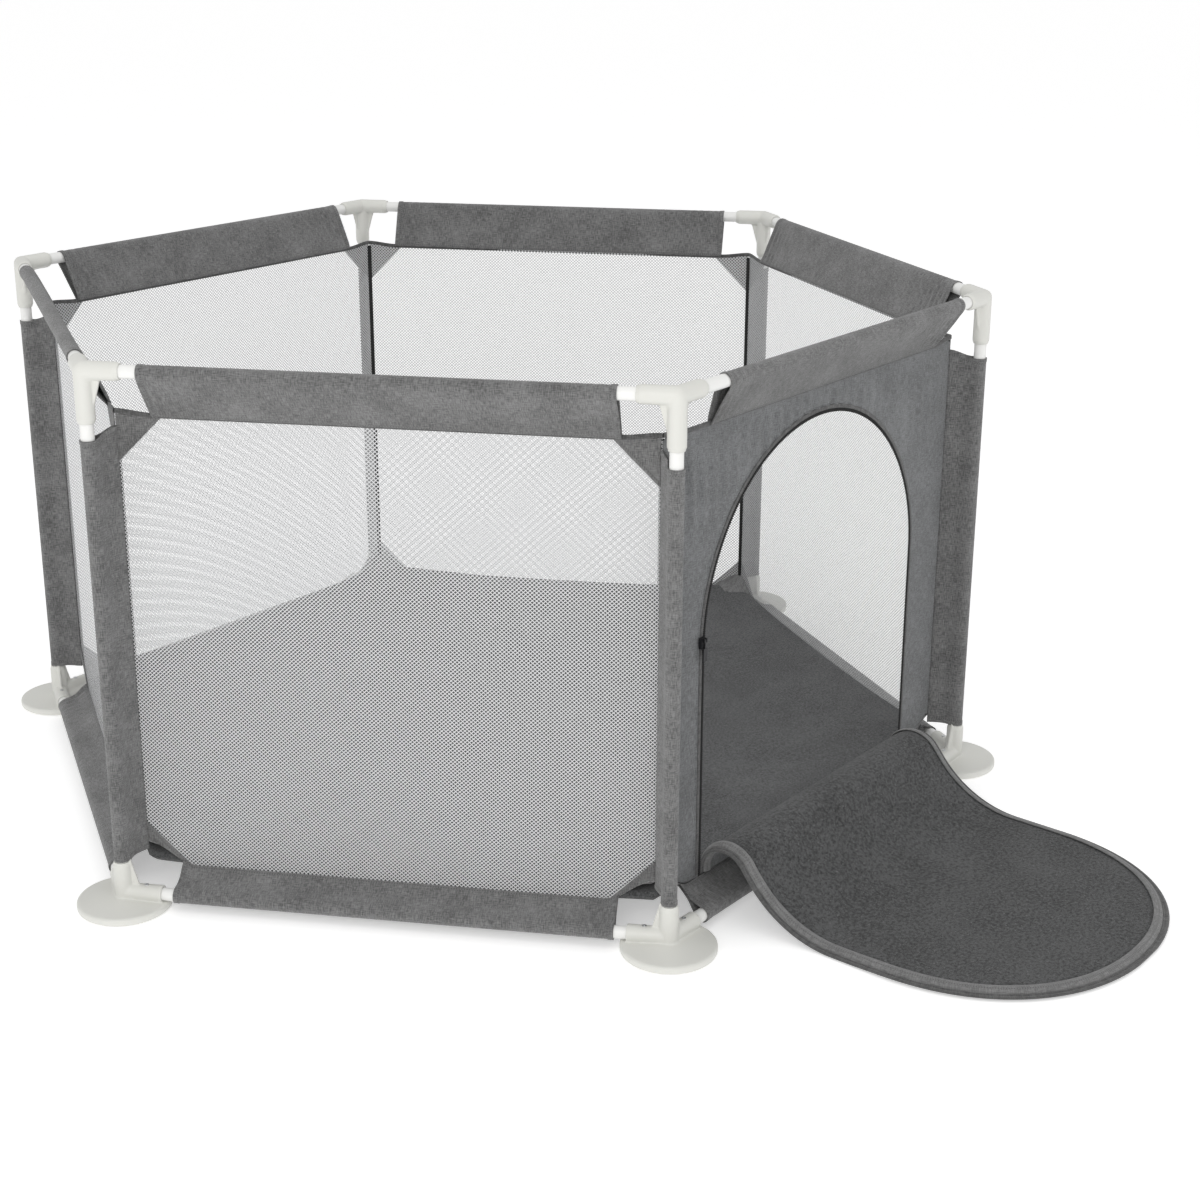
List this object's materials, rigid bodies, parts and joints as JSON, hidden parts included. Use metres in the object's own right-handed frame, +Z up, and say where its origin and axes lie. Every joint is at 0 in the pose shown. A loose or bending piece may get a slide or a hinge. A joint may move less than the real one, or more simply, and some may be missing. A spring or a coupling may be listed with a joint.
{
  "type": "playpen",
  "caption": "Hexagonal baby playpen with a white tube frame, grey cloth and mesh walls, a padded floor and a zipped arch door whose flap folds out to the ground.",
  "frame": {"origin": "on the ground, at the middle of the bounding box's bottom face; the pen's own middle is 194 mm further back (+Y), because the open flap reaches out in front", "axes": "+Z up, -Y out of the door, +X to the right as seen from outside the door"},
  "size_m": [1.456, 1.6644, 0.683],
  "materials": {
    "white_plastic": "satin",
    "white_tube": "satin",
    "linen": "matte",
    "floor_cloth": "matte",
    "mesh": "matte",
    "felt": "matte",
    "binding": "matte",
    "zip_black": "satin",
    "screw_steel": "satin",
    "rubber": "matte",
    "foam": "matte"
  },
  "bodies": {
    "pen": {"foot_front_left": "white_plastic", "foot_front_right": "white_plastic", "foot_right": "white_plastic", "foot_back_right": "white_plastic", "foot_back_left": "white_plastic", "foot_left": "white_plastic", "corner_front_left": "white_plastic", "corner_front_right": "white_plastic", "corner_right": "white_plastic", "corner_back_right": "white_plastic", "corner_back_left": "white_plastic", "corner_left": "white_plastic", "post_front_left": "white_tube", "post_front_right": "white_tube", "post_right": "white_tube", "post_back_right": "white_tube", "post_back_left": "white_tube", "post_left": "white_tube", "top_rail_front": "white_tube", "top_rail_right_front": "white_tube", "top_rail_right_back": "white_tube", "top_rail_back": "white_tube", "top_rail_left_back": "white_tube", "top_rail_left_front": "white_tube", "bottom_rail_front": "white_tube", "bottom_rail_right_front": "white_tube", "bottom_rail_right_back": "white_tube", "bottom_rail_back": "white_tube", "bottom_rail_left_back": "white_tube", "bottom_rail_left_front": "white_tube", "top_sleeve_front": "linen", "top_sleeve_right_front": "linen", "top_sleeve_right_back": "linen", "top_sleeve_back": "linen", "top_sleeve_left_back": "linen", "top_sleeve_left_front": "linen", "bottom_sleeve_front": "linen", "bottom_sleeve_right_front": "linen", "bottom_sleeve_right_back": "linen", "bottom_sleeve_back": "linen", "bottom_sleeve_left_back": "linen", "bottom_sleeve_left_front": "linen", "mesh_panel_right_front": "mesh", "mesh_panel_right_back": "mesh", "mesh_panel_back": "mesh", "mesh_panel_left_back": "mesh", "mesh_panel_left_front": "mesh", "post_sleeves": "linen", "corner_gussets": "linen", "door_panel": "linen", "floor_mat": "floor_cloth", "mat_foam_boards": "foam", "foot_screws": "screw_steel", "foot_grip_pads": "rubber", "door_flap_bend": "felt", "zip_track": "zip_black"},
    "door_flap": {"door_flap": "felt", "flap_binding": "binding"},
    "zip_slider": {"zip_slider": "zip_black"},
    "zip_pull": {"zip_pull": "zip_black"}
  },
  "joints": [
    {"name": "door_flap_hinge", "type": "hinge", "parent": "pen", "child": "door_flap", "pos_m": [0, -0.30692, 0.04968], "axis": [-1, 0, 0], "range_deg": [0, 90], "deforming": ["door_flap_bend"]},
    {"name": "zip_run", "type": "hinge", "parent": "pen", "child": "zip_slider", "pos_m": [0, -0.3526, 0.345], "axis": [0, 1, 0], "range_deg": [0, 180]},
    {"name": "zip_pull_swing", "type": "hinge", "parent": "zip_slider", "child": "zip_pull", "pos_m": [-0.239, -0.3604, 0.3555], "axis": [-1, 0, 0], "range_deg": [0, 160]}
  ]
}
